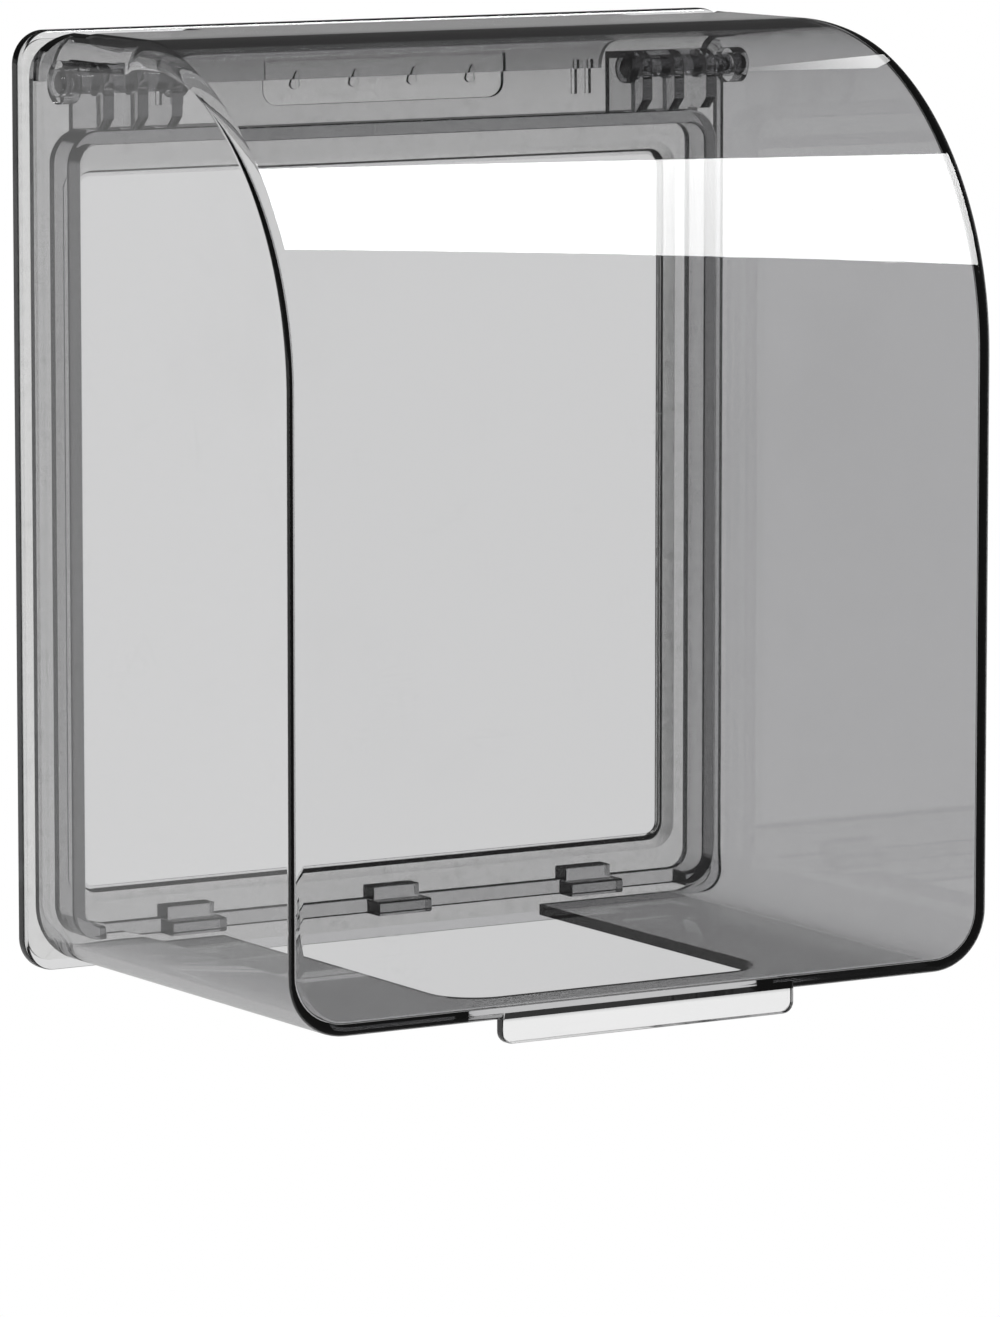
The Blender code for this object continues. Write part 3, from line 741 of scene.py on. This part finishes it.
def makeSkinGroup(settings):
    number, vector = "NodeSocketFloat", "NodeSocketVector"
    group, given, result = newGroup(
        "mouldedSkin", (("Position", vector), ("Wave Size", number), ("Wave Height", number)),
        (("Haze", number), ("Scratches", number), ("Normal", vector)),
    )
    position = given.outputs["Position"]
    waves = noiseNode(group, position, {"Detail": settings["waveDetail"]})
    group.links.new(given.outputs["Wave Size"], waves.inputs["Scale"])
    swell = bumpNormal(group, waves.outputs[0], given.outputs["Wave Height"])
    group.links.new(swell, result.inputs["Normal"])
    clouds = noiseNode(group, position, {
        "Scale": settings["cloudSize"], "Detail": settings["cloudDetail"],
        "Roughness": settings["cloudRoughness"],
    })
    haze = smoothStep(group, clouds.outputs[0], settings["cloudFrom"], settings["cloudFull"])
    group.links.new(haze, result.inputs["Haze"])
    lines = [
        scratchLines(group, position, scale, turn, settings["scratchWidth"])
        for scale, turn in settings["scratchRuns"]
    ]
    patches = noiseNode(group, position, {"Scale": settings["patchSize"]})
    sparse = smoothStep(group, patches.outputs[0], settings["patchFrom"], settings["patchFull"])
    scratched = mathNode(group, "MULTIPLY", mathNode(group, "MAXIMUM", *lines), sparse)
    group.links.new(scratched, result.inputs["Scratches"])
    return group


def makeBubbleGroup(settings):
    number, vector = "NodeSocketFloat", "NodeSocketVector"
    group, given, result = newGroup(
        "gelBubbles", (("Position", vector), ("Size", number), ("Height", number)),
        (("Bubbles", number), ("Normal", vector)),
    )
    cells = group.nodes.new("ShaderNodeTexVoronoi")
    group.links.new(given.outputs["Position"], cells.inputs["Vector"])
    group.links.new(given.outputs["Size"], cells.inputs["Scale"])
    bubble = smoothStep(group, cells.outputs["Distance"], settings["core"], settings["rim"], 1.0, 0.0)
    group.links.new(bubble, result.inputs["Bubbles"])
    group.links.new(bumpNormal(group, bubble, given.outputs["Height"]), result.inputs["Normal"])
    return group


def newMaterial(name, settings):
    material = bpy.data.materials.new(name)
    material.use_nodes = True
    tree = material.node_tree
    shader = tree.nodes["Principled BSDF"]
    shader.inputs["Transmission Weight"].default_value = 1.0
    shader.inputs["IOR"].default_value = settings["ior"]
    place = tree.nodes.new("ShaderNodeTexCoord")
    return material, tree, shader, place.outputs["Object"]


def useGroup(tree, group, position, values):
    node = tree.nodes.new("ShaderNodeGroup")
    node.node_tree = group
    tree.links.new(position, node.inputs["Position"])
    for label, number in values.items():
        node.inputs[label].default_value = number
    return node


def plastic(name, settings, lower=None):
    material, tree, shader, position = newMaterial(name, settings)
    skin = useGroup(
        tree, skinGroup, position, {"Wave Size": settings["waveSize"], "Wave Height": settings["waveHeight"]},
    )
    haze, scratches = skin.outputs["Haze"], skin.outputs["Scratches"]
    rough = mathNode(
        tree, "ADD", mathNode(tree, "MULTIPLY", haze, settings["haze"]),
        mathNode(tree, "MULTIPLY", scratches, settings["scratches"]),
    )
    tree.links.new(rough, shader.inputs["Roughness"])
    tree.links.new(skin.outputs["Normal"], shader.inputs["Normal"])
    film = mathNode(tree, "MULTIPLY", mathNode(tree, "MAXIMUM", haze, scratches), settings["film"])
    dull = tuple(channel * dullShare for channel in settings["tint"])
    tint = settings["tint"]
    # painted lightening: below the lid's floor the tint fades to the lip's paler one
    if lower:
        split = tree.nodes.new("ShaderNodeSeparateXYZ")
        tree.links.new(position, split.inputs[0])
        above = smoothStep(tree, split.outputs["Z"], lower["full"], lower["from"])
        tint = mixColor(tree, above, lower["tint"], tint)
    tree.links.new(mixColor(tree, film, tint, dull), shader.inputs["Base Color"])
    volume = tree.nodes.new("ShaderNodeVolumeAbsorption")
    volume.inputs["Color"].default_value = (*settings["depthColor"], 1.0)
    volume.inputs["Density"].default_value = settings["density"]
    tree.links.new(volume.outputs["Volume"], tree.nodes["Material Output"].inputs["Volume"])
    return material


def gelMaterial(name, settings):
    material, tree, shader, position = newMaterial(name, settings)
    bubbles = useGroup(
        tree, bubbleGroup, position, {"Size": settings["bubbleSize"], "Height": settings["bubbleHeight"]},
    )
    mask = bubbles.outputs["Bubbles"]
    color = mixColor(tree, mask, settings["tint"], settings["bubbleTint"])
    tree.links.new(color, shader.inputs["Base Color"])
    rough = mathNode(tree, "MULTIPLY", mask, settings["bubbleRough"])
    tree.links.new(mathNode(tree, "ADD", rough, settings["roughness"]), shader.inputs["Roughness"])
    tree.links.new(bubbles.outputs["Normal"], shader.inputs["Normal"])
    return material


skinGroup = makeSkinGroup(skinPattern)
bubbleGroup = makeBubbleGroup(bubblePattern)
smokedPlastic = plastic("smokedPlastic", smoked, lipPaintedPale)
clearPlastic = plastic("clearPlastic", clear)
pinPlastic = plastic("pinPlastic", dark)
gelClear = gelMaterial("gelClear", gel)
finishes = {
    lidShell: smokedPlastic,
    backFrame: clearPlastic,
    pinLeft: pinPlastic,
    pinRight: pinPlastic,
    gasketRing: gelClear,
}
for piece, finish in finishes.items():
    piece.data.materials.clear()
    piece.data.materials.append(finish)
print("materials made")


# studio

def emissionCard(name, corners, strength):
    mesh = bpy.data.meshes.new(name)
    mesh.from_pydata([Vector(c) for c in corners], [], [(0, 1, 2, 3)])
    card = bpy.data.objects.new(name, mesh)
    bpy.context.scene.collection.objects.link(card)
    material = bpy.data.materials.new(name)
    material.use_nodes = True
    tree = material.node_tree
    tree.nodes.clear()
    glow = tree.nodes.new("ShaderNodeEmission")
    glow.inputs["Strength"].default_value = strength
    out = tree.nodes.new("ShaderNodeOutputMaterial")
    tree.links.new(glow.outputs[0], out.inputs["Surface"])
    mesh.materials.append(material)
    card.visible_camera = False
    card.visible_transmission = False
    return card


def fadeAlongX(card, low, high, strength):
    tree = card.data.materials[0].node_tree
    place = tree.nodes.new("ShaderNodeTexCoord")
    split = tree.nodes.new("ShaderNodeSeparateXYZ")
    tree.links.new(place.outputs["Object"], split.inputs[0])
    level = smoothStep(tree, split.outputs["X"], low, high, 0.0, strength)
    tree.links.new(level, tree.nodes["Emission"].inputs["Strength"])


def direction(az, el):
    az, el = radians(az), radians(el)
    return Vector((sin(az) * cos(el), -cos(az) * cos(el), sin(el)))


studio = {
    "boxReach": 1.2,
    "boxPastLeft": 0.6,      # share of its width that the softbox runs on past the lid's left edge
    "boxPastRight": 0.3,
    "boxStrength": 12.5,
    "streakStrength": 4.0,
    "streakFrom": 0.672,     # metres along X where it begins and where it is full
    "streakFull": 0.725,
    "background": 1.0,       # the plain white that the camera sees, also through clear plastic
    "fill": 0.9,             # light on matt surfaces from all round
    "below": 0.12,           # what gloss mirrors below the softbox
    "above": 0.08,           # what gloss mirrors above it
    "inside": 0.006,         # what is left of light that was thrown about inside the plastic
    "overWall": 0.32,        # what gloss mirrors from just over the wall
    "upWall": 0.05,          # and from further up it
    "upFrom": 5.0,           # degrees up, where the second takes over from the first
    "upFull": 8.0,
    "wallFrom": 0.05,        # share of the way to the wall where that side begins and is full
    "wallFull": 0.5,
    "fadeLow": 38.0,         # degrees up, hidden behind the softbox
    "fadeHigh": 51.0,
    "floorSize": 60.0,
    "floorZ": -0.20,
    "floorPaint": 0.8,
    "floorRoom": 0.12,       # what gloss mirrors of the floor in front of the wall, and beyond it
    "floorWall": 0.6,
}


# where a card's corners are mirrored on the lid, in millimetres, and the way out from there in degrees
boxSeen = (
    ((-47.5, -66.0, 42.2), 38.9, 37.8), ((49.8, -68.3, 36.3), 37.6, 22.0),
    ((54.6, -61.2, 50.0), 64.1, 51.0), ((-43.9, -59.7, 51.8), 68.4, 57.7),
)
streakSeen = (
    ((24.8, -48.5, 60.9), 125.4, 48.4), ((49.6, -48.7, 60.9), 122.8, 48.5),
    ((52.4, -46.3, 62.1), 130.6, 42.6), ((25.2, -48.2, 61.1), 126.4, 47.6),
)


def mirroredCorners(seen, reach):
    return [Vector(point) * mm + direction(az, el) * reach for point, az, el in seen]


def softboxCorners(settings):
    lowLeft, lowRight, highRight, highLeft = mirroredCorners(boxSeen, settings["boxReach"])
    left, right = settings["boxPastLeft"], settings["boxPastRight"]
    return (
        lowLeft + (lowLeft - lowRight) * left,
        lowRight + (lowRight - lowLeft) * right,
        highRight + (highRight - highLeft) * right,
        highLeft + (highLeft - highRight) * left,
    )


emissionCard("softbox", softboxCorners(studio), studio["boxStrength"])
streakCorners = mirroredCorners(streakSeen, studio["boxReach"])
streak = emissionCard("streakCard", streakCorners, studio["streakStrength"])
fadeAlongX(streak, studio["streakFrom"], studio["streakFull"], studio["streakStrength"])


# tells rays that come straight from the camera, or through clear plastic alone, from mirrored ones
def raySorter(tree):
    path = tree.nodes.new("ShaderNodeLightPath")
    direct = mathNode(tree, "LESS_THAN", path.outputs["Glossy Depth"], 0.5)
    through = mathNode(tree, "MULTIPLY", path.outputs["Is Transmission Ray"], direct)
    seen = mathNode(tree, "MAXIMUM", path.outputs["Is Camera Ray"], through)
    return path, seen


def layer(tree, mask, under, above):
    mixer = tree.nodes.new("ShaderNodeMixShader")
    tree.links.new(mask, mixer.inputs[0])
    tree.links.new(under, mixer.inputs[1])
    tree.links.new(above, mixer.inputs[2])
    return mixer.outputs[0]


def glowNode(tree, kind, level):
    glow = tree.nodes.new(kind)
    glow.inputs["Color"].default_value = (level, level, level, 1.0)
    return glow.outputs[0]


def makeFloor(settings):
    bpy.ops.mesh.primitive_plane_add(size=settings["floorSize"], location=(0, 0, settings["floorZ"]))
    floor = bpy.context.object
    floor.name = "floor"
    material = bpy.data.materials.new("floorWhite")
    material.use_nodes = True
    tree = material.node_tree
    tree.nodes.clear()
    paint = tree.nodes.new("ShaderNodeBsdfDiffuse")
    paint.inputs["Color"].default_value = (settings["floorPaint"],) * 3 + (1.0,)
    path, seen = raySorter(tree)
    place = tree.nodes.new("ShaderNodeTexCoord")
    split = tree.nodes.new("ShaderNodeSeparateXYZ")
    tree.links.new(place.outputs["Object"], split.inputs[0])

    def glow(name):
        return glowNode(tree, "ShaderNodeEmission", settings[name])

    beyond = mathNode(tree, "GREATER_THAN", split.outputs["Y"], 0.0)
    mirrored = layer(tree, beyond, glow("floorRoom"), glow("floorWall"))
    inner = layer(tree, path.outputs["Is Glossy Ray"], glow("inside"), mirrored)
    matt = layer(tree, path.outputs["Is Diffuse Ray"], inner, paint.outputs[0])
    top = layer(tree, seen, matt, glow("background"))
    side = tree.nodes.new("ShaderNodeNewGeometry")
    clearBack = tree.nodes.new("ShaderNodeBsdfTransparent")
    out = tree.nodes.new("ShaderNodeOutputMaterial")
    bothSides = layer(tree, side.outputs["Backfacing"], top, clearBack.outputs[0])
    tree.links.new(bothSides, out.inputs["Surface"])
    floor.data.materials.append(material)


def makeWorld(settings):
    world = bpy.data.worlds.new("studio")
    bpy.context.scene.world = world
    world.use_nodes = True
    tree = world.node_tree
    tree.nodes.clear()
    place = tree.nodes.new("ShaderNodeTexCoord")
    split = tree.nodes.new("ShaderNodeSeparateXYZ")
    tree.links.new(place.outputs["Generated"], split.inputs[0])

    def riseStep(low, high):
        low, high = sin(radians(settings[low])), sin(radians(settings[high]))
        return smoothStep(tree, split.outputs["Z"], low, high)

    def glow(name):
        return glowNode(tree, "ShaderNodeBackground", settings[name])

    fade, high = riseStep("fadeLow", "fadeHigh"), riseStep("upFrom", "upFull")
    wallSide = smoothStep(tree, split.outputs["Y"], settings["wallFrom"], settings["wallFull"])
    path, seen = raySorter(tree)
    room = layer(tree, fade, glow("below"), glow("above"))
    wall = layer(tree, high, glow("overWall"), glow("upWall"))
    mirrored = layer(tree, wallSide, room, wall)
    inner = layer(tree, path.outputs["Is Glossy Ray"], glow("inside"), mirrored)
    matt = layer(tree, path.outputs["Is Diffuse Ray"], inner, glow("fill"))
    out = tree.nodes.new("ShaderNodeOutputWorld")
    tree.links.new(layer(tree, seen, matt, glow("background")), out.inputs["Surface"])


makeFloor(studio)
makeWorld(studio)

bpy.context.scene.view_settings.view_transform = "Standard"
print("studio lit")
